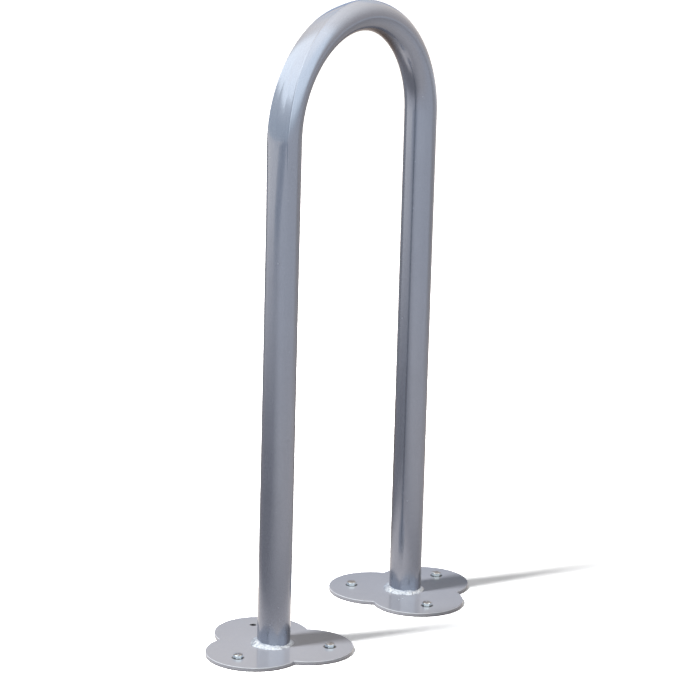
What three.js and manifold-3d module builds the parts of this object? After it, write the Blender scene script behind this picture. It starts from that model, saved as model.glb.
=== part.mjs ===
// A hoop bike rack. One round pipe, bent into an upside-down U, stands on two base plates of three
// round lobes each. A weld bead runs round the foot of each leg, and hex bolts hold the plates down,
// one in each lobe but one, whose hole is empty.
// Millimetres, +Z up. The plates' undersides lie on z = 0, and the hoop stands in the XZ plane with a
// leg on each side of the origin.
import * as THREE from "three";
import { mergeVertices } from "three/addons/utils/BufferGeometryUtils.js";
import Module from "manifold-3d";

const wasm = await Module();
wasm.setup();

// Pipe
const PIPE_DIAMETER = 48.3;
const PIPE_WALL = 3.2;
const LEG_SPACING = 322;
const BEND_START_HEIGHT = 742;
const BEND_SQUASH_SHARE = 0.08;
const BEND_SPREAD_SHARE = 0.02;
const SQUASH_GROWS_OVER = THREE.MathUtils.degToRad(20);

// Base plates
const PLATE_THICKNESS = 6;
const LOBE_RADIUS = 69;
const LOBE_OFFSET = 47;
const LOBE_COUNT = 3;
const PLATE_EDGE_ROUND = 0.8;
const BOLT_EDGE_DISTANCE = 34;

// Weld beads
const BEAD_REACH = 6.8;
const BEAD_HEIGHT = 4.6;
const BEAD_BULGE_SHARE = 0.45;
const BEAD_FIT_GAP = 0.3;
// Each lump: how many there are round the leg, how large they are, and where the first one lies
const BEAD_LUMP_SHARES = [
  [1, 0.3, 0.93],
  [2, 0.09, 0.6],
  [5, 0.07, 2.1],
  [9, 0.05, 4.4],
  [31, 0.05, 0.0],
];

// Bolts
const BOLT_DIAMETER = 8;
const HOLE_CLEARANCE = 1;
const HEAD_ACROSS_FLATS = 13;
const HEAD_HEIGHT = 5.3;
const HEAD_TOP_SHARE = 0.95;
const HEAD_CHAMFER_ANGLE = THREE.MathUtils.degToRad(30);
const BOLT_END_GAP = 0.5;
const CUT_OVERRUN = 1;

// How finely round shapes are divided
const PIPE_SIDES = 32;
const LEG_RINGS = 3;
const BEND_RINGS = 40;
const LOBE_SEGMENTS = 14;
const EDGE_SEGMENTS = 1;
const BEAD_SEGMENTS = 96;
const BEAD_FACE_STEPS = 5;
const BOLT_SIDES = 20;
const HEAD_SIDES = 6;

// Sizes that follow
const PIPE_RADIUS = PIPE_DIAMETER / 2;
const BORE_RADIUS = PIPE_RADIUS - PIPE_WALL;
const BEND_RADIUS = LEG_SPACING / 2;
const BOLT_CIRCLE_RADIUS = LOBE_OFFSET + LOBE_RADIUS - BOLT_EDGE_DISTANCE;
const HOLE_RADIUS = (BOLT_DIAMETER + HOLE_CLEARANCE) / 2;
const LOBE_STEP = (2 * Math.PI) / LOBE_COUNT;

// The two feet: which side each stands on, how its plate is turned, how far in degrees each lobe's
// bolt is turned from having a corner towards +X, with null where the hole is empty, and where the
// bead's lumps start
const FEET = [
  { name: "left", side: -1, plateTurn: Math.PI, boltTurns: [17, 22, null], beadStart: 0.0 },
  { name: "right", side: 1, plateTurn: 0, boltTurns: [15, 15, 3], beadStart: Math.PI },
];

const pipePaint = { color: 0x8b92a3, roughness: 0.32, metalness: 0.75 };
const platePaint = { color: 0xb2b0b8, roughness: 0.22, metalness: 0.7 };
const beadPaint = { color: 0xdfe4ee, roughness: 0.3, metalness: 0.7 };
const zincPlate = { color: 0xb9cbd8, roughness: 0.25, metalness: 0.95 };

function bareGeometry(geometry) {
  geometry.deleteAttribute("normal");
  geometry.deleteAttribute("uv");
  return mergeVertices(geometry);
}

function toSolid(geometry) {
  const bare = bareGeometry(geometry);
  return new wasm.Manifold(new wasm.Mesh({
    numProp: 3,
    vertProperties: new Float32Array(bare.getAttribute("position").array),
    triVerts: new Uint32Array(bare.index.array),
  }));
}

function fromSolid(solid) {
  const mesh = solid.getMesh();
  const geometry = new THREE.BufferGeometry();
  geometry.setAttribute("position", new THREE.BufferAttribute(mesh.vertProperties, mesh.numProp));
  geometry.setIndex(new THREE.BufferAttribute(mesh.triVerts, 1));
  return geometry;
}

function namedMesh(name, geometry, paint) {
  const mesh = new THREE.Mesh(geometry, new THREE.MeshStandardMaterial(paint));
  mesh.name = name;
  return mesh;
}

// The centre line of the pipe: up the left leg, over the bend, down the right leg. It is divided by
// rings and not by length, so that the straight legs take few rings and the bend takes many.
class HoopLine extends THREE.Curve {
  at(share) {
    const ring = share * (2 * LEG_RINGS + BEND_RINGS);
    const last = 2 * LEG_RINGS + BEND_RINGS - ring;
    const legShare = Math.min(ring, last) / LEG_RINGS;
    if (legShare <= 1) {
      const side = ring < last ? -1 : 1;
      const height = THREE.MathUtils.lerp(PLATE_THICKNESS, BEND_START_HEIGHT, legShare);
      return {
        point: new THREE.Vector3(side * BEND_RADIUS, 0, height),
        tangent: new THREE.Vector3(0, 0, -side),
      };
    }
    const turn = Math.PI * (1 - (ring - LEG_RINGS) / BEND_RINGS);
    const out = new THREE.Vector3(Math.cos(turn), 0, Math.sin(turn));
    return {
      point: new THREE.Vector3(BEND_RADIUS * out.x, 0, BEND_START_HEIGHT + BEND_RADIUS * out.z),
      tangent: new THREE.Vector3(out.z, 0, -out.x),
    };
  }

  getPoint(share) {
    return this.at(share).point;
  }

  getPointAt(share) {
    return this.at(share).point;
  }

  getTangentAt(share) {
    return this.at(share).tangent;
  }
}

// A bent pipe is squashed: thinner in the plane of the bend, a little wider across it.
function squashBend(geometry) {
  const spots = geometry.getAttribute("position");
  for (let i = 0; i < spots.count; i++) {
    const rise = spots.getZ(i) - BEND_START_HEIGHT;
    if (rise > 0) {
      const reach = Math.hypot(spots.getX(i), rise);
      const turned = Math.asin(rise / reach);
      const share = THREE.MathUtils.smoothstep(turned, 0, SQUASH_GROWS_OVER);
      const newReach = BEND_RADIUS + (reach - BEND_RADIUS) * (1 - BEND_SQUASH_SHARE * share);
      const x = (spots.getX(i) * newReach) / reach;
      const z = BEND_START_HEIGHT + (rise * newReach) / reach;
      spots.setXYZ(i, x, spots.getY(i) * (1 + BEND_SPREAD_SHARE * share), z);
    }
  }
  return geometry;
}

function hoopPipe() {
  const section = new THREE.Shape();
  section.absarc(0, 0, PIPE_RADIUS, 0, 2 * Math.PI);
  const bore = new THREE.Path();
  bore.absarc(0, 0, BORE_RADIUS, 0, 2 * Math.PI);
  section.holes.push(bore);
  const pipe = new THREE.ExtrudeGeometry(section, {
    steps: 2 * LEG_RINGS + BEND_RINGS,
    curveSegments: PIPE_SIDES / 2,
    extrudePath: new HoopLine(),
  });
  return squashBend(bareGeometry(pipe));
}

// Three round lobes that meet in sharp notches, one lobe towards +X. Each lobe is one arc from notch
// to notch.
function plateOutline() {
  const halfGap = LOBE_OFFSET * Math.sin(LOBE_STEP / 2);
  const notchReach = LOBE_OFFSET * Math.cos(LOBE_STEP / 2) + Math.sqrt(LOBE_RADIUS ** 2 - halfGap ** 2);
  const notchX = notchReach * Math.cos(LOBE_STEP / 2) - LOBE_OFFSET;
  const notchY = notchReach * Math.sin(LOBE_STEP / 2);
  const sweep = Math.atan2(notchY, notchX);
  const outline = new THREE.Shape();
  for (let lobe = 0; lobe < LOBE_COUNT; lobe++) {
    const turn = lobe * LOBE_STEP;
    const x = LOBE_OFFSET * Math.cos(turn);
    const y = LOBE_OFFSET * Math.sin(turn);
    outline.absarc(x, y, LOBE_RADIUS, turn - sweep, turn + sweep);
  }
  return outline;
}

function basePlate() {
  const outline = plateOutline();
  for (let lobe = 0; lobe < LOBE_COUNT; lobe++) {
    const turn = lobe * LOBE_STEP;
    const hole = new THREE.Path();
    hole.absarc(BOLT_CIRCLE_RADIUS * Math.cos(turn), BOLT_CIRCLE_RADIUS * Math.sin(turn), HOLE_RADIUS,
      0, 2 * Math.PI);
    outline.holes.push(hole);
  }
  const plate = new THREE.ExtrudeGeometry(outline, {
    depth: PLATE_THICKNESS - 2 * PLATE_EDGE_ROUND,
    curveSegments: LOBE_SEGMENTS,
    bevelThickness: PLATE_EDGE_ROUND,
    bevelSize: PLATE_EDGE_ROUND,
    bevelOffset: -PLATE_EDGE_ROUND,
    bevelSegments: EDGE_SEGMENTS,
  });
  return bareGeometry(plate.translate(0, 0, PLATE_EDGE_ROUND));
}

// The bead's section is a triangle with a bulging face, spun round the leg; its reach and height then
// swell and shrink with the lumps.
function weldBead(start) {
  const inside = PIPE_RADIUS + BEAD_FIT_GAP;
  const profile = [new THREE.Vector2(inside, 0)];
  for (let step = 0; step <= BEAD_FACE_STEPS; step++) {
    const share = step / BEAD_FACE_STEPS;
    const turn = (share * Math.PI) / 2;
    const out = THREE.MathUtils.lerp(1 - share, Math.cos(turn), BEAD_BULGE_SHARE);
    const up = THREE.MathUtils.lerp(share, Math.sin(turn), BEAD_BULGE_SHARE);
    profile.push(new THREE.Vector2(inside + out * BEAD_REACH, up * BEAD_HEIGHT));
  }
  profile.push(profile[0].clone());
  const bead = bareGeometry(new THREE.LatheGeometry(profile, BEAD_SEGMENTS).rotateX(Math.PI / 2));
  const spots = bead.getAttribute("position");
  for (let i = 0; i < spots.count; i++) {
    const angle = Math.atan2(spots.getY(i), spots.getX(i));
    const swell = BEAD_LUMP_SHARES.reduce(
      (sum, [count, share, first]) => sum + share * Math.cos(count * angle + first + start), 1);
    const reach = Math.hypot(spots.getX(i), spots.getY(i));
    const newReach = inside + (reach - inside) * swell;
    spots.setXYZ(i, newReach * Math.cos(angle), newReach * Math.sin(angle), spots.getZ(i) * swell);
  }
  return bead.translate(0, 0, PLATE_THICKNESS);
}

// A hex head with a chamfered top, and the shank that fills the plate's hole.
function hexBolt() {
  const cornerRadius = HEAD_ACROSS_FLATS / 2 / Math.cos(Math.PI / HEAD_SIDES);
  const topRadius = (HEAD_ACROSS_FLATS / 2) * HEAD_TOP_SHARE;
  const coneRadius = cornerRadius + CUT_OVERRUN;
  const coneDrop = (coneRadius - topRadius) * Math.tan(HEAD_CHAMFER_ANGLE);
  const prism = new THREE.CylinderGeometry(cornerRadius, cornerRadius, HEAD_HEIGHT, HEAD_SIDES);
  prism.rotateY(Math.PI / HEAD_SIDES);
  const cone = new THREE.LatheGeometry([
    new THREE.Vector2(0, -HEAD_HEIGHT / 2 - CUT_OVERRUN),
    new THREE.Vector2(coneRadius, -HEAD_HEIGHT / 2 - CUT_OVERRUN),
    new THREE.Vector2(coneRadius, HEAD_HEIGHT / 2 - coneDrop),
    new THREE.Vector2(topRadius, HEAD_HEIGHT / 2),
    new THREE.Vector2(0, HEAD_HEIGHT / 2),
  ], 2 * BOLT_SIDES);
  const shankLength = PLATE_THICKNESS - BOLT_END_GAP + CUT_OVERRUN;
  const shank = new THREE.CylinderGeometry(BOLT_DIAMETER / 2, BOLT_DIAMETER / 2, shankLength, BOLT_SIDES);
  shank.translate(0, CUT_OVERRUN - HEAD_HEIGHT / 2 - shankLength / 2, 0);
  const bolt = toSolid(prism).intersect(toSolid(cone)).add(toSolid(shank));
  return fromSolid(bolt).rotateX(Math.PI / 2).translate(0, 0, PLATE_THICKNESS + HEAD_HEIGHT / 2);
}

const rack = new THREE.Group();
rack.add(namedMesh("hoop_tube", hoopPipe(), pipePaint));

for (const { name, side, plateTurn, boltTurns, beadStart } of FEET) {
  const foot = new THREE.Group();
  foot.position.x = side * BEND_RADIUS;
  foot.rotation.z = plateTurn;
  foot.add(namedMesh(`${name}_base_plate`, basePlate(), platePaint));
  foot.add(namedMesh(`${name}_weld_bead`, weldBead(beadStart), beadPaint));
  boltTurns.forEach((boltTurn, lobe) => {
    if (boltTurn !== null) {
      const bolt = namedMesh(`${name}_bolt_${lobe + 1}`, hexBolt(), zincPlate);
      const turn = lobe * LOBE_STEP;
      bolt.position.set(BOLT_CIRCLE_RADIUS * Math.cos(turn), BOLT_CIRCLE_RADIUS * Math.sin(turn), 0);
      bolt.rotation.z = THREE.MathUtils.degToRad(boltTurn);
      foot.add(bolt);
    }
  });
  rack.add(foot);
}

export default rack;
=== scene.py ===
import math

import bmesh
import bpy
from mathutils import Matrix, Vector, noise


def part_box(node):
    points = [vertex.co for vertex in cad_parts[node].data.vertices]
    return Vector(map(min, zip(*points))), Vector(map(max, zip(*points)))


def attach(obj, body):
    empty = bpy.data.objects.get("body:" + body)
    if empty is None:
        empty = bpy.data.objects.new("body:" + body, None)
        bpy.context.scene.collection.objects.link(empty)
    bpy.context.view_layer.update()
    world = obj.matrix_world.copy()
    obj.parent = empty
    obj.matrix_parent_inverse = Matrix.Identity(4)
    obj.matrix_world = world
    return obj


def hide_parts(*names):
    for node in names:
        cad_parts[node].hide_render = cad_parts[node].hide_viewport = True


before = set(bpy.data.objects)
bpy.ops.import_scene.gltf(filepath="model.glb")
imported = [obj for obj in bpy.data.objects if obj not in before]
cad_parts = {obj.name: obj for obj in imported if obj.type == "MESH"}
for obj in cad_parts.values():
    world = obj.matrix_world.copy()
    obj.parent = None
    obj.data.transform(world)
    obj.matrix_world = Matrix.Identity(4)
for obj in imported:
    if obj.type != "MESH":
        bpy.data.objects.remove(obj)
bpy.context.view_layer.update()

MM = 0.001
UP = Vector((0, 0, 1))
SIDEWAYS = Vector((0, 1, 0))

# Edges sharper than this many degrees stay sharp
SHARP_ANGLE = 40
BEAD_SHARP_ANGLE = 80
BOLT_SHARP_ANGLE = 30

# Pipe
PIPE_WALL = 3.2 * MM
BEND_SQUASH = 0.08
BEND_SPREAD = 0.02
SQUASH_GROWS_OVER = math.radians(20)
PIPE_SIDES = 240
LEG_RINGS = 16
BEND_RINGS = 160
BORE_SIDES = 240
BORE_BEND_RINGS = 24

# The outside of the bend is pressed flatter, and a low ridge runs along the near edge of the flat. Degrees
# round the pipe count from the outside of the bend, degrees along it from the left leg. Each fall of the
# ridge: from where to where along the bend, and by how many degrees round the pipe.
FLAT_START = -56
RIDGE_START = 53
RIDGE_FALLS = [(10, 60, 20), (48, 90, 18)]
RIDGE_FADES = (-50, 24, 78, 100)
FLAT_SHARE = 0.65
FLAT_SINK_SHARE = 0.7
RIDGE_BLEND = math.radians(30)
RIDGE_HEIGHT = 0.8 * MM
RIDGE_WIDTH = 1.6 * MM

# Base plates
LOBE_RADIUS = 69 * MM
LOBE_COUNT = 3
LOBE_STEP = 2 * math.pi / LOBE_COUNT
LOBE_STEPS = 96
PLATE_EDGE_ROUND = 0.8 * MM
PLATE_FOOT_ROUND = 0.5 * MM
PLATE_EDGE_SEGMENTS = 4
RIM_ANGLE = math.radians(45)
HOLE_RADIUS = 4.5 * MM
HOLE_SIDES = 48
# How far the painted shade round each bolt head reaches
BOLT_SHADE_REACH = 8 * MM
MERGE_DISTANCE = 0.01 * MM

# Weld beads. Each lump: how many there are round the leg, how large they are, where the first one lies.
# Two noises roughen the face. Each drop of spatter: its x, y and radius in millimetres
BEAD_REACH = 6.8 * MM
BEAD_HEIGHT = 4.6 * MM
BEAD_SINK = 0.2 * MM
BEAD_SWING = 0.8
BEAD_FACE_STEPS = 12
BEAD_STEPS = 288
BEAD_LUMPS = [(1, 0.3, 0.93), (2, 0.09, 0.6), (5, 0.07, 2.1), (9, 0.05, 4.4), (31, 0.02, 0.0)]
BEAD_ROUGH_SIZE = 2.6 * MM
BEAD_ROUGH_SHARE = 0.13
BEAD_FINE_SIZE = 1.1 * MM
BEAD_FINE_SHARE = 0.05
BEAD_NOISE_SHIFT = 9
BEAD_MERGE_DISTANCE = 0.001 * MM
SPATTER = [(111.9, -24.5, 1.5), (120.4, -25.7, 1.2), (138.5, -41.0, 0.8)]
SPATTER_FLATNESS = 0.7
SPATTER_RISE = 0.2
SPATTER_SIDES = 16
SPATTER_RINGS = 10

# Bolts
HEAD_ACROSS_FLATS = 13 * MM
HEAD_TOP_SHARE = 0.95
HEAD_CHAMFER = math.tan(math.radians(30))
HEAD_SIDES = 96
HEAD_FOOT_ROUND = 0.25 * MM
HEAD_EDGE_BELOW = 0.18 * MM
HEAD_EDGE_ABOVE = 0.02 * MM
HEAD_EDGE_IN = 0.12 * MM
HEAD_TOP_ROUND = 0.05 * MM
HEAD_TOP_IN = 0.15 * MM
CORNER_WEAR = 0.14 * MM
CORNER_WIDTH = math.radians(3.4)
BOLT_RADIUS = 4 * MM
BOLT_END_CHAMFER = 0.7 * MM
BOLT_NODES = ["left_bolt_1", "left_bolt_2", "right_bolt_1", "right_bolt_2", "right_bolt_3"]

# Which side each foot stands on, how its plate is turned, each bolt's turn in degrees, and where the
# lumps of its bead start. The hole in the left plate's third lobe is empty
EMPTY_LOBE = 2
FEET = {
    "left": {"side": -1, "turn": math.pi, "bolts": [17, 22], "lumps": 0.0},
    "right": {"side": 1, "turn": 0.0, "bolts": [15, 15, 3], "lumps": math.pi},
}

hoop_low, hoop_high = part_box("hoop_tube")
_, plate_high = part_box("right_base_plate")
pipe_radius = hoop_high.y / (1 + BEND_SPREAD)
leg_x = hoop_high.x - pipe_radius
bend_z = hoop_high.z - leg_x - pipe_radius * (1 - BEND_SQUASH)
plate_top = plate_high.z
lobe_offset = plate_high.x - leg_x - LOBE_RADIUS


# Small helpers for shapes


def smooth_share(value, start, end):
    """0 up to start, 1 from end on, and an even S between them."""
    share = min(max((value - start) / (end - start), 0.0), 1.0)
    return share * share * (3 - 2 * share)


def edges_between(verts):
    """The edges that join these vertices with each other, in an order that is the same each run."""
    held = set(verts)
    found = (edge for vert in verts for edge in vert.link_edges if edge.other_vert(vert) in held)
    return list(dict.fromkeys(found))


def pull_ring(mesh, ring, vector, steps):
    """Extrudes a ring of vertices along a vector in equal steps and gives the last ring."""
    for _ in range(steps):
        made = bmesh.ops.extrude_edge_only(mesh, edges=edges_between(ring))["geom"]
        ring = [item for item in made if isinstance(item, bmesh.types.BMVert)]
        bmesh.ops.translate(mesh, verts=ring, vec=Vector(vector) / steps)
    return ring


def place_of(part):
    """Where a vertex, an edge or a face lies."""
    corners = [part] if isinstance(part, bmesh.types.BMVert) else part.verts
    return tuple(sum((corner.co for corner in corners), Vector()) / len(corners))


def fix_order(mesh):
    """Sorts a shape by place, because extrusion makes faces in an order that differs between runs."""
    for parts in (mesh.verts, mesh.edges, mesh.faces):
        for number, part in enumerate(sorted(parts, key=place_of)):
            part.index = number
        parts.sort()


def finish_piece(mesh, name, node, material, sharp_angle):
    """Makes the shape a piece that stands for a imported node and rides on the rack."""
    fix_order(mesh)
    data = bpy.data.meshes.new(name)
    mesh.to_mesh(data)
    mesh.free()
    data.polygons.foreach_set("use_smooth", [True] * len(data.polygons))
    data.set_sharp_from_angle(angle=math.radians(sharp_angle))
    data.materials.append(material)
    piece = bpy.data.objects.new(name, data)
    bpy.context.scene.collection.objects.link(piece)
    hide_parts(node)
    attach(piece, "root")
    return piece


# The bent pipe


def hoop_wall(mesh, radius, sides, leg_rings, bend_rings):
    """One skin of the pipe: a ring goes up the left leg, over the bend and down the right leg."""
    start = bmesh.ops.create_circle(mesh, segments=sides, radius=radius)["verts"]
    bmesh.ops.translate(mesh, verts=start, vec=(-leg_x, 0, hoop_low.z))
    ring = pull_ring(mesh, start, (0, 0, bend_z - hoop_low.z), leg_rings)
    spun = bmesh.ops.spin(
        mesh,
        geom=ring + edges_between(ring),
        cent=(0, 0, bend_z),
        axis=(0, 1, 0),
        angle=math.pi,
        steps=bend_rings,
        use_merge=False,
    )
    ring = [item for item in spun["geom_last"] if isinstance(item, bmesh.types.BMVert)]
    end = pull_ring(mesh, ring, (0, 0, hoop_low.z - bend_z), leg_rings)
    return start, end


def squash_bend(verts):
    """A bent pipe is thinner in the plane of the bend and a little wider across it."""
    for vert in verts:
        rise = vert.co.z - bend_z
        if rise > 0:
            reach = math.hypot(vert.co.x, rise)
            share = smooth_share(math.asin(rise / reach), 0, SQUASH_GROWS_OVER)
            new_reach = leg_x + (reach - leg_x) * (1 - BEND_SQUASH * share)
            vert.co.x *= new_reach / reach
            vert.co.z = bend_z + rise * new_reach / reach
            vert.co.y *= 1 + BEND_SPREAD * share


def bend_place(point):
    """How far along the bend a point lies in degrees, the pipe's middle there, and the way outwards."""
    rise = point.z - bend_z
    if rise > 0:
        outward = Vector((point.x, 0, rise)).normalized()
        turned = math.degrees(math.atan2(rise, -point.x))
        return turned, Vector((0, 0, bend_z)) + outward * leg_x, outward
    side = math.copysign(1, point.x)
    below = math.degrees(rise / leg_x)
    turned = below if side < 0 else 180 - below
    return turned, Vector((side * leg_x, 0, point.z)), Vector((side, 0, 0))


def press_ridge(verts):
    """Flattens the outside of the bend on the left and raises the ridge along the flat's edge."""
    for vert in verts:
        turned, middle, outward = bend_place(vert.co)
        first, full, last, gone = RIDGE_FADES
        share = smooth_share(turned, first, full) * (1 - smooth_share(turned, last, gone))
        if share <= 0:
            continue
        offset = vert.co - middle
        out, aside = offset.dot(outward), offset.y
        reach = math.hypot(out, aside)
        falls = [size * smooth_share(turned, begins, ends) for begins, ends, size in RIDGE_FALLS]
        ridge = RIDGE_START - sum(falls)
        facing, half = math.radians(FLAT_START + ridge) / 2, math.radians(ridge - FLAT_START) / 2
        angle = math.remainder(math.atan2(-aside, out) - facing, 2 * math.pi)
        edge_out = reach * math.cos(half)
        level = edge_out + (reach - edge_out) * (1 - FLAT_SINK_SHARE)
        raised = FLAT_SHARE * (level - edge_out)
        if abs(angle) < half:
            change = FLAT_SHARE * (level - reach * math.cos(angle))
        else:
            change = raised * (1 - smooth_share(abs(angle), half, half + RIDGE_BLEND))
        away = (angle - half) * reach / RIDGE_WIDTH
        change += RIDGE_HEIGHT * math.exp(-away * away)
        vert.co += (outward * math.cos(facing) - SIDEWAYS * math.sin(facing)) * change * share


def hoop_shape():
    mesh = bmesh.new()
    outside = hoop_wall(mesh, pipe_radius, PIPE_SIDES, LEG_RINGS, BEND_RINGS)
    skin = list(mesh.verts)
    inside = hoop_wall(mesh, pipe_radius - PIPE_WALL, BORE_SIDES, 1, BORE_BEND_RINGS)
    squash_bend(mesh.verts)
    press_ridge(skin)
    for outer, inner in zip(outside, inside):
        bmesh.ops.bridge_loops(mesh, edges=edges_between(outer) + edges_between(inner))
    bmesh.ops.recalc_face_normals(mesh, faces=mesh.faces)
    return mesh


# A base plate


def lobe_turns(foot):
    return [foot["turn"] + lobe * LOBE_STEP for lobe in range(LOBE_COUNT)]


def plate_shape(foot, bolt_reach):
    """Each lobe is a vertex swung from notch to notch. The outline and the holes are filled and raised."""
    half_gap = lobe_offset * math.sin(LOBE_STEP / 2)
    notch_reach = lobe_offset * math.cos(LOBE_STEP / 2) + math.sqrt(LOBE_RADIUS**2 - half_gap**2)
    notch = Vector((math.cos(LOBE_STEP / 2), math.sin(LOBE_STEP / 2), 0)) * notch_reach
    sweep = math.atan2(notch.y, notch.x - lobe_offset)
    axis = Vector((foot["side"] * leg_x, 0, 0))
    mesh = bmesh.new()
    first = foot["turn"] - LOBE_STEP / 2
    vert = mesh.verts.new(axis + Matrix.Rotation(first, 3, "Z") @ Vector((notch_reach, 0, 0)))
    for turn in lobe_turns(foot):
        middle = axis + Vector((math.cos(turn), math.sin(turn), 0)) * lobe_offset
        swung = bmesh.ops.spin(
            mesh, geom=[vert], cent=middle, axis=UP, angle=2 * sweep, steps=LOBE_STEPS, use_merge=False
        )
        vert = next(item for item in swung["geom_last"] if isinstance(item, bmesh.types.BMVert))
    bmesh.ops.remove_doubles(mesh, verts=mesh.verts, dist=MERGE_DISTANCE)
    for turn in lobe_turns(foot):
        hole = bmesh.ops.create_circle(mesh, segments=HOLE_SIDES, radius=HOLE_RADIUS)["verts"]
        bmesh.ops.translate(
            mesh, verts=hole, vec=axis + Vector((math.cos(turn), math.sin(turn), 0)) * bolt_reach
        )
    bmesh.ops.triangle_fill(mesh, edges=mesh.edges, use_beauty=True, normal=UP)
    raised = bmesh.ops.extrude_face_region(mesh, geom=mesh.faces[:], use_keep_orig=True)["geom"]
    top = [item for item in raised if isinstance(item, bmesh.types.BMVert)]
    bmesh.ops.translate(mesh, verts=top, vec=UP * plate_top)
    bmesh.ops.recalc_face_normals(mesh, faces=mesh.faces)
    for height, size in ((plate_top, PLATE_EDGE_ROUND), (0.0, PLATE_FOOT_ROUND)):
        rim = [
            edge
            for edge in mesh.edges
            if all(abs(vert.co.z - height) < MERGE_DISTANCE for vert in edge.verts)
            and edge.calc_face_angle(0) > RIM_ANGLE
        ]
        bmesh.ops.bevel(
            mesh,
            geom=rim,
            offset=size,
            offset_type="OFFSET",
            affect="EDGES",
            segments=PLATE_EDGE_SEGMENTS,
            profile=0.5,
            material=-1,
        )
    return mesh


# A weld bead


def bead_shape(foot):
    """The bead's face is a vertex swung about a point behind its corner; the section is spun round the
    leg, and the lumps and ripples swell it."""
    mesh = bmesh.new()
    inside = pipe_radius
    toe = mesh.verts.new((1, 0, 0))
    swing = math.pi / 2 - 2 * math.atan2(BEAD_SWING, 1 + BEAD_SWING)
    swung = bmesh.ops.spin(
        mesh,
        geom=[toe],
        cent=(-BEAD_SWING, 0, -BEAD_SWING),
        axis=(0, 1, 0),
        angle=-swing,
        steps=BEAD_FACE_STEPS,
        use_merge=False,
    )
    top = next(item for item in swung["geom_last"] if isinstance(item, bmesh.types.BMVert))
    bmesh.ops.scale(mesh, vec=(BEAD_REACH, 1, BEAD_HEIGHT), verts=mesh.verts)
    bmesh.ops.translate(mesh, verts=mesh.verts, vec=(inside, 0, 0))
    under = bmesh.ops.extrude_vert_indiv(mesh, verts=[toe])["verts"][0]
    under.co.z = -BEAD_SINK
    back = bmesh.ops.extrude_vert_indiv(mesh, verts=[top])["verts"][0]
    back.co.x = inside - BEAD_SINK
    corner = bmesh.ops.extrude_vert_indiv(mesh, verts=[back])["verts"][0]
    corner.co.z = -BEAD_SINK
    mesh.edges.new((corner, under))
    bmesh.ops.spin(
        mesh,
        geom=mesh.verts[:] + mesh.edges[:],
        cent=(0, 0, 0),
        axis=UP,
        angle=2 * math.pi,
        steps=BEAD_STEPS,
        use_merge=True,
    )
    bmesh.ops.remove_doubles(mesh, verts=mesh.verts, dist=BEAD_MERGE_DISTANCE)
    bmesh.ops.recalc_face_normals(mesh, faces=mesh.faces)
    for vert in mesh.verts:
        angle = math.atan2(vert.co.y, vert.co.x)
        swell = 1 + sum(
            share * math.cos(count * (angle - foot["turn"]) + first + foot["lumps"])
            for count, share, first in BEAD_LUMPS
        )
        reach = math.hypot(vert.co.x, vert.co.y)
        out = reach - inside
        if out > 0 or vert.co.z > 0:
            shift = Vector((foot["side"] * BEAD_NOISE_SHIFT, 0, 0))
            rough = noise.noise(vert.co / BEAD_ROUGH_SIZE + shift)
            fine = noise.noise(vert.co / BEAD_FINE_SIZE)
            swell *= 1 + BEAD_ROUGH_SHARE * rough + BEAD_FINE_SHARE * fine
        new_reach = inside + out * (swell if out > 0 else 1)
        vert.co.x, vert.co.y = new_reach * math.cos(angle), new_reach * math.sin(angle)
        if vert.co.z > 0:
            vert.co.z *= swell
    bmesh.ops.translate(mesh, verts=mesh.verts, vec=(foot["side"] * leg_x, 0, plate_top))
    return mesh


def add_spatter(mesh):
    """Small drops of weld metal that landed on the plate."""
    for x, y, size in SPATTER:
        drop = bmesh.ops.create_uvsphere(
            mesh, u_segments=SPATTER_SIDES, v_segments=SPATTER_RINGS, radius=size * MM
        )["verts"]
        bmesh.ops.scale(mesh, vec=(1, 1, SPATTER_FLATNESS), verts=drop)
        place = (x * MM, y * MM, plate_top + SPATTER_RISE * size * MM)
        bmesh.ops.translate(mesh, verts=drop, vec=place)


# A hex bolt


def hex_reach(angle):
    """How far the head reaches at an angle from one of its corners, with the corners a little worn."""
    off_corner = abs(math.remainder(angle, math.pi / 3))
    worn = CORNER_WEAR * math.exp(-((off_corner / CORNER_WIDTH) ** 2))
    return HEAD_ACROSS_FLATS / 2 / math.cos(math.pi / 6 - off_corner) - worn


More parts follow.
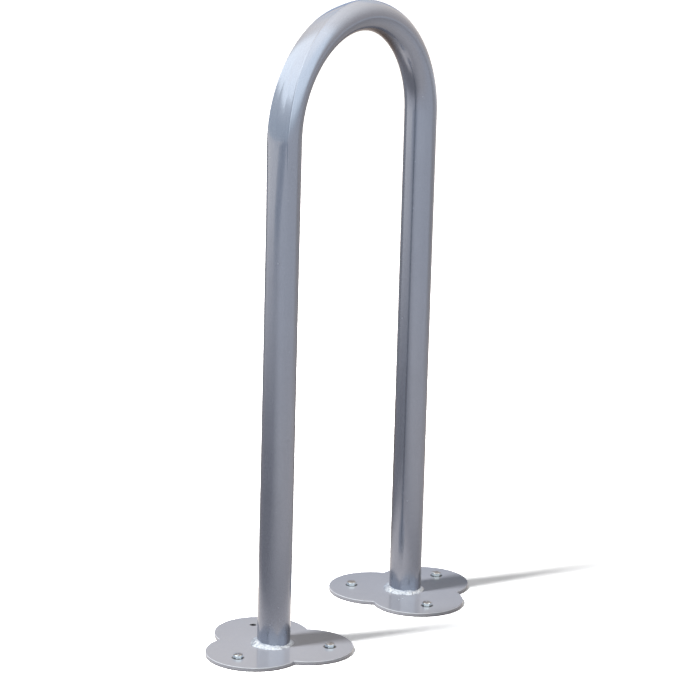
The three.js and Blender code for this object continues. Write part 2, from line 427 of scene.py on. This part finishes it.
def bolt_shape(node, turn):
    """Rings from the shank's end up to the middle of the head, each extruded from the one before."""
    low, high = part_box(node)
    head = high.z - plate_top
    flat = HEAD_ACROSS_FLATS / 2 * HEAD_TOP_SHARE

    def chamfer(reach):
        return head - max(reach - flat, 0) * HEAD_CHAMFER

    end = low.z - plate_top
    rings = [
        lambda reach: (BOLT_RADIUS - BOLT_END_CHAMFER, end),
        lambda reach: (BOLT_RADIUS, end + BOLT_END_CHAMFER),
        lambda reach: (BOLT_RADIUS, 0.0),
        lambda reach: (reach - HEAD_FOOT_ROUND, 0.0),
        lambda reach: (reach, HEAD_FOOT_ROUND),
        lambda reach: (reach, chamfer(reach) - HEAD_EDGE_BELOW),
        lambda reach: (reach - HEAD_EDGE_IN, chamfer(reach) + HEAD_EDGE_ABOVE),
        lambda reach: (flat + HEAD_TOP_ROUND, head - HEAD_TOP_ROUND),
        lambda reach: (flat - HEAD_TOP_IN, head),
    ]
    mesh = bmesh.new()
    ring = bmesh.ops.create_circle(mesh, segments=HEAD_SIDES, radius=1)["verts"]
    bmesh.ops.edgeloop_fill(mesh, edges=edges_between(ring))
    for level, place in enumerate(rings):
        if level:
            made = bmesh.ops.extrude_edge_only(mesh, edges=edges_between(ring))["geom"]
            ring = [item for item in made if isinstance(item, bmesh.types.BMVert)]
        for vert in ring:
            angle = math.atan2(vert.co.y, vert.co.x)
            reach, height = place(hex_reach(angle))
            vert.co = (reach * math.cos(angle), reach * math.sin(angle), height)
    bmesh.ops.edgeloop_fill(mesh, edges=edges_between(ring))
    bmesh.ops.recalc_face_normals(mesh, faces=mesh.faces)
    middle = (low + high) / 2
    place = Matrix.Translation((middle.x, middle.y, plate_top)) @ Matrix.Rotation(turn, 4, "Z")
    bmesh.ops.transform(mesh, matrix=place, verts=mesh.verts)
    return mesh


# Finishes


class Wire:
    """An output of a node that takes part in sums: each operator adds a Math node."""

    def __init__(self, finish, socket):
        self.finish = finish
        self.socket = socket

    def maths(self, operation, *values):
        return self.finish.node(
            "ShaderNodeMath", {"operation": operation}, dict(enumerate(values)), 0
        )

    def __add__(self, other):
        return self.maths("ADD", self, other)

    def __radd__(self, other):
        return self.maths("ADD", other, self)

    def __sub__(self, other):
        return self.maths("SUBTRACT", self, other)

    def __rsub__(self, other):
        return self.maths("SUBTRACT", other, self)

    def __mul__(self, other):
        return self.maths("MULTIPLY", self, other)

    def __rmul__(self, other):
        return self.maths("MULTIPLY", other, self)

    def most(self, other):
        return self.maths("MAXIMUM", self, other)

    def share(self, start, end):
        """0 up to start, 1 from end on, and an even S between them."""
        return self.finish.node(
            "ShaderNodeMapRange",
            {"interpolation_type": "SMOOTHSTEP"},
            {"Value": self, "From Min": start, "From Max": end},
            "Result",
        )


class Finish:
    """A node tree that holds one finish."""

    def __init__(self, tree):
        self.tree = tree
        tree.nodes.clear()

    def node(self, kind, settings, sockets, output):
        """Adds a node: its settings first, then the values or wires of its sockets."""
        made = self.tree.nodes.new(kind)
        for name, value in settings.items():
            setattr(made, name, value)
        for name, value in sockets.items():
            if isinstance(value, Wire):
                self.tree.links.new(value.socket, made.inputs[name])
            else:
                made.inputs[name].default_value = value
        return Wire(self, made.outputs[output]) if output is not None else made

    def spots(self):
        """Object coordinates."""
        return self.node("ShaderNodeTexCoord", {}, {}, "Object")

    def parts(self, vector):
        """The x, y and z of a vector."""
        made = self.node("ShaderNodeSeparateXYZ", {}, {"Vector": vector}, None)
        return [Wire(self, made.outputs[axis]) for axis in "XYZ"]

    def clouds(self, vector, size, detail=2.0, roughness=0.5):
        """Noise whose patches are about this size in metres."""
        return self.node(
            "ShaderNodeTexNoise",
            {},
            {"Vector": vector, "Scale": 1 / size, "Detail": detail, "Roughness": roughness},
            0,
        )

    def grains(self, vector, size):
        """A different shade in each cell of this size."""
        cells = self.node("ShaderNodeTexVoronoi", {}, {"Vector": vector, "Scale": 1 / size}, "Color")
        return self.node("ShaderNodeSeparateColor", {}, {"Color": cells}, 0)

    def mix(self, share, first, second):
        """A colour between two colours."""
        ends = [value if isinstance(value, Wire) else (*value, 1) for value in (first, second)]
        return self.node(
            "ShaderNodeMix", {"data_type": "RGBA"}, {0: share, 6: ends[0], 7: ends[1]}, 2
        )

    def vectors(self, operation, *values, output=0):
        return self.node(
            "ShaderNodeVectorMath", {"operation": operation}, dict(enumerate(values)), output
        )

    def length(self, vector):
        return self.vectors("LENGTH", vector, output="Value")

    def distance(self, spots, place):
        """How far each spot lies from a place."""
        return self.length(self.vectors("SUBTRACT", spots, tuple(place)))

    def aimed(self, vector):
        return self.vectors("NORMALIZE", vector)

    def facing(self, vector, heading):
        """1 where a direction points along the heading, -1 where it points the other way."""
        return self.vectors("DOT_PRODUCT", vector, heading, output="Value")

    def bump(self, height, distance, below=None):
        """A normal from a height, on top of the bump below where one is given."""
        sockets = {"Height": height, "Distance": distance, "Strength": 1.0}
        if below:
            sockets["Normal"] = below
        return self.node("ShaderNodeBump", {}, sockets, "Normal")

    def surface(self, **sockets):
        """The finished surface of a piece. Underscores in a socket's name stand for spaces."""
        named = {name.replace("_", " "): value for name, value in sockets.items()}
        self.show(self.node("ShaderNodeBsdfPrincipled", {}, named, "BSDF"))

    def glow(self, colour):
        """A surface that shows just its colour, whatever the light."""
        return self.node("ShaderNodeEmission", {}, {"Color": colour, "Strength": 1.0}, 0)

    def show(self, shader):
        self.node("ShaderNodeOutputMaterial", {}, {"Surface": shader}, None)

    def rays(self):
        """1 for rays that show the background itself: from the camera, off gloss, and through glass."""
        path = self.node("ShaderNodeLightPath", {}, {}, None)
        kinds = ("Camera", "Glossy", "Transmission")
        return [Wire(self, path.outputs[f"Is {kind} Ray"]) for kind in kinds]


def new_finish(name):
    material = bpy.data.materials.new(name)
    material.use_nodes = True
    return material, Finish(material.node_tree)


def pipe_paint():
    """Silver-blue metallic paint: flakes of two sizes, slow clouding, orange peel, a few dull rubs, and
    a painted pale band at the foot of each leg that stands in for light bounced off the plate."""
    material, paint = new_finish("pipe_paint")
    spots = paint.spots()
    clouding = paint.clouds(spots, 70 * MM, 3)
    flakes = paint.grains(spots, 0.6 * MM) * 0.5 + paint.grains(spots, 1.6 * MM) * 0.5
    rubs = paint.clouds(spots, 6 * MM, 3, 0.6).share(0.66, 0.78)
    shade = clouding * 0.5 + flakes * 0.5
    colour = paint.mix(shade, (0.198, 0.221, 0.280), (0.252, 0.281, 0.350))
    colour = paint.mix(rubs * 0.1, colour, (0.30, 0.33, 0.39))
    _, _, height = paint.parts(spots)
    # Painted light: the foot of each leg is lighter, standing in for light reflected up from the plate
    foot = 1 - height.share(plate_top + 6 * MM, plate_top + 42 * MM)
    colour = paint.mix(foot * 0.45, colour, (0.42, 0.47, 0.57))
    peel = paint.clouds(spots, 2.4 * MM, 1)
    paint.surface(
        Base_Color=colour,
        Metallic=0.85,
        Roughness=0.19 + clouding * 0.05 + rubs * 0.08,
        Coat_Weight=0.6,
        Coat_Roughness=0.08,
        Normal=paint.bump(peel, 0.03 * MM),
    )
    return material


def plate_paint():
    """The same paint on flat plate, with dust, a painted highlight along the top rim, and painted shade
    along the foot of its edge, round each bolt and at the empty hole.
    """
    material, paint = new_finish("plate_paint")
    spots = paint.spots()
    clouding = paint.clouds(spots, 50 * MM, 3)
    flakes = paint.grains(spots, 0.6 * MM)
    dust = paint.clouds(spots, 12 * MM, 4, 0.6).share(0.5, 0.75)
    colour = paint.mix(clouding * 0.7 + flakes * 0.3, (0.315, 0.325, 0.37), (0.36, 0.37, 0.415))
    colour = paint.mix(dust * 0.12, colour, (0.46, 0.45, 0.45))
    _, _, height = paint.parts(spots)
    # Painted highlight: a pale band along the rounded top rim stands in for the light that edge catches
    rim = height.share(plate_top - 1.3 * MM, plate_top - 0.6 * MM)
    rim = rim - height.share(plate_top - 0.25 * MM, plate_top - 0.03 * MM)
    colour = paint.mix(rim * 0.7, colour, (0.80, 0.84, 0.90))
    # Painted shade: the bottom of the plate's edge is near black, standing in for contact shadow on the
    # floor
    painted_foot_shade = 1 - height.share(0.4 * MM, 1.8 * MM)
    colour = paint.mix(painted_foot_shade * 0.8, colour, (0.05, 0.045, 0.04))
    # Painted shade: a near-black ring round each bolt head and at the empty hole stands in for contact
    # shadow
    painted_shade_rings = [(sum(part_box(node), Vector()) / 2, BOLT_SHADE_REACH) for node in BOLT_NODES]
    for middle, reach in painted_shade_rings + [(empty_hole, HOLE_RADIUS)]:
        aside = paint.vectors("MULTIPLY", paint.vectors("SUBTRACT", spots, tuple(middle)), (1, 1, 0))
        outside_shade = (paint.length(aside) + (clouding - 0.5) * (3 * MM)).share(reach, reach * 1.3)
        colour = paint.mix(0.95 - outside_shade * 0.95, colour, (0.025, 0.024, 0.024))
    waves = paint.clouds(spots, 30 * MM, 1)
    peel = paint.clouds(spots, 2.6 * MM, 1)
    paint.surface(
        Base_Color=colour,
        Metallic=0.1,
        Roughness=0.3,
        Specular_IOR_Level=0.0,
        Coat_Weight=0.65,
        Coat_Roughness=0.05,
        Normal=paint.bump(waves, 0.06 * MM, paint.bump(peel, 0.02 * MM)),
    )
    return material


def bead_paint():
    """Paint over rough weld metal: lighter, uneven, shiny on the crests."""
    material, paint = new_finish("weld_bead")
    spots = paint.spots()
    patches = paint.clouds(spots, 4 * MM, 3)
    colour = paint.mix(patches.share(0.3, 0.6), (0.30, 0.335, 0.40), (0.50, 0.54, 0.60))
    rough = paint.clouds(spots, 2.2 * MM, 2, 0.5)
    paint.surface(
        Base_Color=colour,
        Metallic=0.4,
        Roughness=0.26 + patches * 0.15,
        Coat_Weight=0.5,
        Coat_Roughness=0.08,
        Normal=paint.bump(rough, 0.18 * MM),
    )
    return material


def zinc_bolt():
    """Bright zinc plating with a painted brown reflection on the top of the head, and turning marks."""
    material, zinc = new_finish("zinc_bolt")
    spots = zinc.spots()
    _, _, height = zinc.parts(spots)
    top = height.share(plate_top + 4.6 * MM, plate_top + 5.1 * MM)
    patches = zinc.clouds(spots, 4 * MM, 3)
    # Painted reflection: the top of the head is brown in patches, standing in for surroundings mirrored
    # there
    painted_top_reflection = top * patches.share(0.2, 0.5)
    colour = zinc.mix(patches, (0.58, 0.66, 0.72), (0.78, 0.85, 0.90))
    colour = zinc.mix(painted_top_reflection * 0.9, colour, (0.16, 0.125, 0.105))
    marks = zinc.clouds(spots, 1.2 * MM, 3)
    zinc.surface(
        Base_Color=colour,
        Metallic=1.0,
        Roughness=0.13 + patches * 0.12 + painted_top_reflection * 0.2,
        Normal=zinc.bump(marks, 0.04 * MM),
    )
    return material


# The pieces

bolt_low, bolt_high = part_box("right_bolt_1")
bolt_reach = (bolt_low.x + bolt_high.x) / 2 - leg_x
empty_turn = lobe_turns(FEET["left"])[EMPTY_LOBE]
empty_hole = Vector((-leg_x, 0, 0)) + Matrix.Rotation(empty_turn, 3, "Z") @ Vector((bolt_reach, 0, 0))

paint_of_pipe = pipe_paint()
paint_of_plate = plate_paint()
paint_of_bead = bead_paint()
plating = zinc_bolt()

finish_piece(hoop_shape(), "bent_pipe", "hoop_tube", paint_of_pipe, SHARP_ANGLE)
for name, foot in FEET.items():
    plate = finish_piece(
        plate_shape(foot, bolt_reach),
        f"{name}_foot_plate",
        f"{name}_base_plate",
        paint_of_plate,
        SHARP_ANGLE,
    )
    evened = plate.modifiers.new("flat_top", "WEIGHTED_NORMAL")
    evened.keep_sharp = True
    bead = bead_shape(foot)
    if name == "right":
        add_spatter(bead)
    finish_piece(
        bead, f"{name}_weld", f"{name}_weld_bead", paint_of_bead, BEAD_SHARP_ANGLE
    )
    for number, turn in enumerate(foot["bolts"], 1):
        node = f"{name}_bolt_{number}"
        bolt = bolt_shape(node, foot["turn"] + math.radians(turn))
        finish_piece(
            bolt, f"{name}_hex_bolt_{number}", node, plating, BOLT_SHARP_ANGLE
        )

# Camera, at the photograph's viewing angle

EYE = Vector((-3.665057, -2.732448, 1.620815))
SCREEN_RIGHT = Vector((0.606023, -0.795016, 0.026167))
SCREEN_UP = Vector((0.184738, 0.172666, 0.967501))
SCREEN_BACK = SCREEN_RIGHT.cross(SCREEN_UP)
SENSOR_WIDTH = 36
LENS = 173.99
FARTHEST_SEEN = 60

camera_data = bpy.data.cameras.new("camera")
camera_data.sensor_width = SENSOR_WIDTH
camera_data.lens = LENS
camera_data.clip_end = FARTHEST_SEEN
camera = bpy.data.objects.new("camera", camera_data)
camera.matrix_world = Matrix.Translation(EYE) @ Matrix(
    (SCREEN_RIGHT, SCREEN_UP, SCREEN_BACK)
).transposed().to_4x4()
bpy.context.scene.collection.objects.link(camera)
bpy.context.scene.camera = camera
bpy.context.scene.view_settings.view_transform = "Standard"

# Light: an even world and one soft lamp from the upper left. Gloss shows surroundings of its own: broad
# tinted areas on the floor, a bright dome and a dark backdrop. Their colours are levels of light, 1 is
# white, and the numbers in share() are metres on the floor and sines or cosines of angles on the dome

WORLD_LEVEL = 0.2
LAMP_WIDTH = 0.6
LAMP_POWER = 185
LAMP_SPOT = (-1.9, 1.0, 3.6)
LAMP_AIM = (0, 0, 0.4)
FLOOR_REACH = 20
DOME_RADIUS = 9
BACKDROP_SIZE = (0.8, 1.0)
BACKDROP_MIDDLE = (0.25, 1.15, 0.5)

# The floor: what lamp light bounces off, what the camera sees near the rack and farther off, the painted
# shade seen through the empty hole, and round areas that gloss shows. Each area: middle, inner and outer
# radius, level
FLOOR_COLOUR = (0.8, 0.8, 0.8)
FLOOR_SEEN_NEAR = (2.3, 2.3, 2.3)
FLOOR_SEEN_FAR = (4.4, 4.4, 4.4)
HOLE_PAINTED_SHADE = (0.03, 0.03, 0.03)
FLOOR_AREAS = [
    ((0.75, 0.65, 0), 0.15, 0.75, (0.18, 0.13, 0.10)),
    ((-0.05, 0.08, 0), 0.14, 0.4, (1.34, 1.22, 1.12)),
    ((-4.6, 0.3, 0), 1.25, 2.0, (0.50, 0.54, 0.62)),
]


def place_stage(mesh, name, material):
    """Makes a shape an object of the surroundings."""
    data = bpy.data.meshes.new(name)
    mesh.to_mesh(data)
    mesh.free()
    data.materials.append(material)
    made = bpy.data.objects.new(name, data)
    bpy.context.scene.collection.objects.link(made)
    return made


def show_in_gloss_only(made):
    for ray in ("camera", "diffuse", "transmission", "volume_scatter", "shadow"):
        setattr(made, f"visible_{ray}", False)


def light_world():
    world = bpy.data.worlds.new("world")
    bpy.context.scene.world = world
    world.use_nodes = True
    air = Finish(world.node_tree)
    camera_ray, gloss_ray, glass_ray = air.rays()
    level = camera_ray.most(gloss_ray).most(glass_ray) * (1 - WORLD_LEVEL) + WORLD_LEVEL
    glow = air.node("ShaderNodeBackground", {}, {"Color": (1, 1, 1, 1), "Strength": level}, 0)
    air.node("ShaderNodeOutputWorld", {}, {"Surface": glow}, None)


def hang_lamp():
    lamp_data = bpy.data.lights.new("soft_lamp", "AREA")
    lamp_data.shape = "DISK"
    lamp_data.size = LAMP_WIDTH
    lamp_data.energy = LAMP_POWER
    lamp = bpy.data.objects.new("soft_lamp", lamp_data)
    lamp.location = LAMP_SPOT
    aim = Vector(LAMP_AIM) - lamp.location
    lamp.rotation_euler = aim.to_track_quat("-Z", "Y").to_euler()
    lamp.visible_glossy = False
    bpy.context.scene.collection.objects.link(lamp)


def floor_in_gloss(ground, spots):
    """What gloss shows of the floor: pale towards -Y, and duller and warmer towards +Y near the rack."""
    across, along_y, _ = ground.parts(spots)
    away = ground.length(spots)
    lit = ground.mix(away.share(0.8, 2.4), (1.08, 1.00, 0.94), (1.06, 1.05, 1.06))
    back = across * 0.8 + along_y * 0.6
    lit = ground.mix(back.share(-0.2, 1.1) * (1 - away.share(3.2, 5.5)), lit, (0.66, 0.61, 0.58))
    far_left = ground.mix(along_y.share(0, 2), (0.85, 0.89, 0.94), (1.5, 1.42, 1.32))
    left = ground.mix(away.share(0.95, 2.3), (0.40, 0.375, 0.38), (1.0, 0.96, 0.94))
    left = ground.mix(away.share(2.2, 4.0), left, far_left)
    right = ground.mix(away.share(1.5, 2.8), (0.48, 0.40, 0.36), (0.64, 0.56, 0.50))
    shade = ground.mix(across.share(0.1, 0.9), left, right)
    shown = ground.mix((along_y - across * 0.2).share(-0.75, 0.45), lit, shade)
    for middle, inner, outer, level in FLOOR_AREAS:
        area = 1 - ground.distance(spots, middle).share(inner, outer)
        shown = ground.mix(area, shown, level)
    return shown


def lay_floor():
    mesh = bmesh.new()
    bmesh.ops.create_grid(mesh, x_segments=1, y_segments=1, size=FLOOR_REACH)
    material, ground = new_finish("pale_floor")
    spots = ground.spots()
    mirrored = ground.glow(floor_in_gloss(ground, spots))
    camera_ray, gloss_ray, glass_ray = ground.rays()
    seen = ground.mix(ground.length(spots).share(0.25, 1.5), FLOOR_SEEN_NEAR, FLOOR_SEEN_FAR)
    # Painted shade: the camera sees the floor under the plate's empty hole as near black
    from_empty_hole = ground.distance(spots, empty_hole)
    seen = ground.mix(from_empty_hole.share(HOLE_RADIUS * 0.9, HOLE_RADIUS), HOLE_PAINTED_SHADE, seen)
    colour = ground.mix(camera_ray.most(glass_ray), FLOOR_COLOUR, seen)
    lit_by_lamp = ground.node("ShaderNodeBsdfDiffuse", {}, {"Color": colour}, 0)
    ground.show(
        ground.node("ShaderNodeMixShader", {}, {0: gloss_ray, 1: lit_by_lamp, 2: mirrored}, 0)
    )
    floor = place_stage(mesh, "floor", material)


def dome_heading(aside):
    """The level direction that many degrees to the screen's right of the camera's side."""
    toward = Vector((SCREEN_BACK.x, SCREEN_BACK.y, 0)).normalized()
    turn = math.radians(aside)
    return tuple(toward * math.cos(turn) + UP.cross(toward) * math.sin(turn))


def hang_sky():
    """A dome that only reflections show. On the camera's side it is bright from low down, but on the left
    only from higher up. On the far side it brightens slowly with height, and has three blue patches."""
    mesh = bmesh.new()
    bmesh.ops.create_uvsphere(mesh, u_segments=48, v_segments=24, radius=DOME_RADIUS)
    bmesh.ops.reverse_faces(mesh, faces=mesh.faces)
    for face in mesh.faces:
        face.smooth = True
    material, sky = new_finish("soft_sky")
    heading = sky.aimed(sky.spots())
    level = sky.aimed(sky.vectors("MULTIPLY", heading, (1, 1, 0)))
    _, _, rise = sky.parts(heading)

    def toward(aside):
        return sky.facing(level, dome_heading(aside))

    front = toward(-28).share(-0.44, -0.14)
    left = toward(-75).share(0.6, 0.8)
    clear = front * rise.share(left * 0.44 - 0.04, left * 0.27 + 0.22)
    low = sky.mix(front, (0.92, 0.84, 0.79), (0.92, 1.01, 1.07))
    blue = toward(178).share(0.86, 0.97) * (rise.share(0.37, 0.45) - rise.share(0.55, 0.75))
    blue = blue + toward(-166).share(0.95, 0.99) * (1 - rise.share(0.18, 0.3))
    low = sky.mix(blue, low, (0.5, 0.64, 0.85))
    deep_blue = toward(180).share(0.93, 0.98) * (rise.share(0.1, 0.18) - rise.share(0.3, 0.36))
    low = sky.mix(deep_blue, low, (0.24, 0.35, 0.58))
    behind = sky.mix(rise * rise, low, (2.85, 2.68, 2.4))
    bright = sky.mix(toward(75).share(0.4, 0.9), (2.8, 2.9, 2.82), (2.36, 2.5, 2.5))
    bright = sky.mix(rise.share(0.5, 0.85), bright, (3.0, 2.95, 2.75))
    sky.show(sky.glow(sky.mix(clear, behind, bright)))
    dome = place_stage(mesh, "sky", material)
    show_in_gloss_only(dome)


def stand_backdrop():
    """A dark backdrop off to the far side that only reflections show."""
    mesh = bmesh.new()
    bmesh.ops.create_grid(mesh, x_segments=1, y_segments=1, size=0.5)
    upright = Matrix.Rotation(math.radians(90), 4, "X") @ Matrix.Diagonal((*BACKDROP_SIZE, 1, 1))
    bmesh.ops.transform(
        mesh, matrix=Matrix.Translation(BACKDROP_MIDDLE) @ upright, verts=mesh.verts
    )
    material, cloth = new_finish("dark_cloth")
    cloth.show(cloth.glow((0.38, 0.38, 0.4, 1)))
    backdrop = place_stage(mesh, "side_backdrop", material)
    show_in_gloss_only(backdrop)


light_world()
hang_lamp()
lay_floor()
hang_sky()
stand_backdrop()
